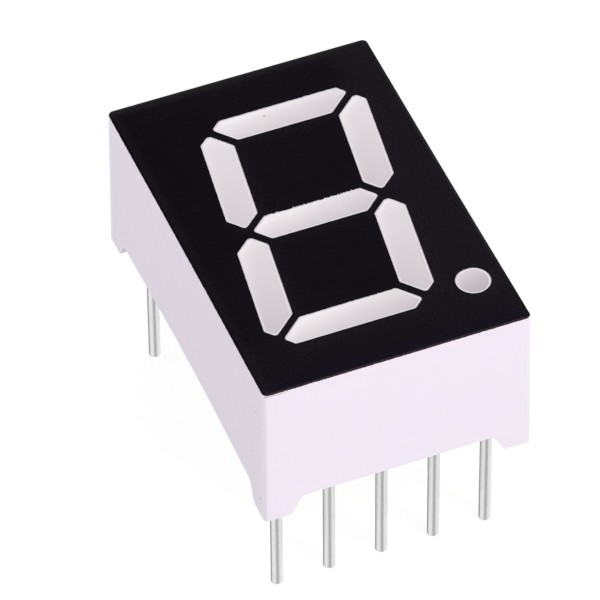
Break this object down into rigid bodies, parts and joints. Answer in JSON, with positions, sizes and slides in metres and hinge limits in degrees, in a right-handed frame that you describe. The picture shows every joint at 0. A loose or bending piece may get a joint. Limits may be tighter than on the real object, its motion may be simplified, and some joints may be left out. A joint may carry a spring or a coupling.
{
  "type": "seven segment display",
  "caption": "Light-emitting numeral module with a slanted seven-bar digit, a decimal point, a black printed face, corner feet and two rows of round pins.",
  "frame": {"origin": "centre of the ten-pin pattern, in the plane that the four corner feet stand on", "axes": "+Z out of the printed face, +Y up the digit, +X to the reader's right; pin 1 is the left pin of the row at -Y"},
  "size_m": [0.0128, 0.0192, 0.0145],
  "materials": {
    "housing": "white moulded polycarbonate, satin, with a faint lilac cast",
    "ink": "black printed ink, satin, with a fine grain",
    "epoxy": "milky cast epoxy with a smooth surface",
    "potting": "cast epoxy, cloudy and slightly amber",
    "board": "glass-fibre laminate under white lacquer",
    "copper": "etched copper",
    "die": "polished semiconductor",
    "silver_glue": "silver-filled epoxy",
    "gold": "drawn gold wire",
    "solder": "bright solder",
    "pin": "tinned wire, satin, with drawing lines along it"
  },
  "bodies": {
    "root": {"reflector_housing": "housing", "face_ink": "ink", "segment_a": "epoxy", "segment_b": "epoxy", "segment_c": "epoxy", "segment_d": "epoxy", "segment_e": "epoxy", "segment_f": "epoxy", "segment_g": "epoxy", "segment_dp": "epoxy", "circuit_board": "board", "front_copper": "copper", "back_pads": "copper", "die_attach": "silver_glue", "die_a": "die", "die_b": "die", "die_c": "die", "die_d": "die", "die_e": "die", "die_f": "die", "die_g": "die", "die_dp": "die", "wire_a": "gold", "wire_b": "gold", "wire_c": "gold", "wire_d": "gold", "wire_e": "gold", "wire_f": "gold", "wire_g": "gold", "wire_dp": "gold", "solder_joints": "solder", "back_potting": "potting", "pin_1": "pin", "pin_2": "pin", "pin_3": "pin", "pin_4": "pin", "pin_5": "pin", "pin_6": "pin", "pin_7": "pin", "pin_8": "pin", "pin_9": "pin", "pin_10": "pin"}
  },
  "joints": []
}
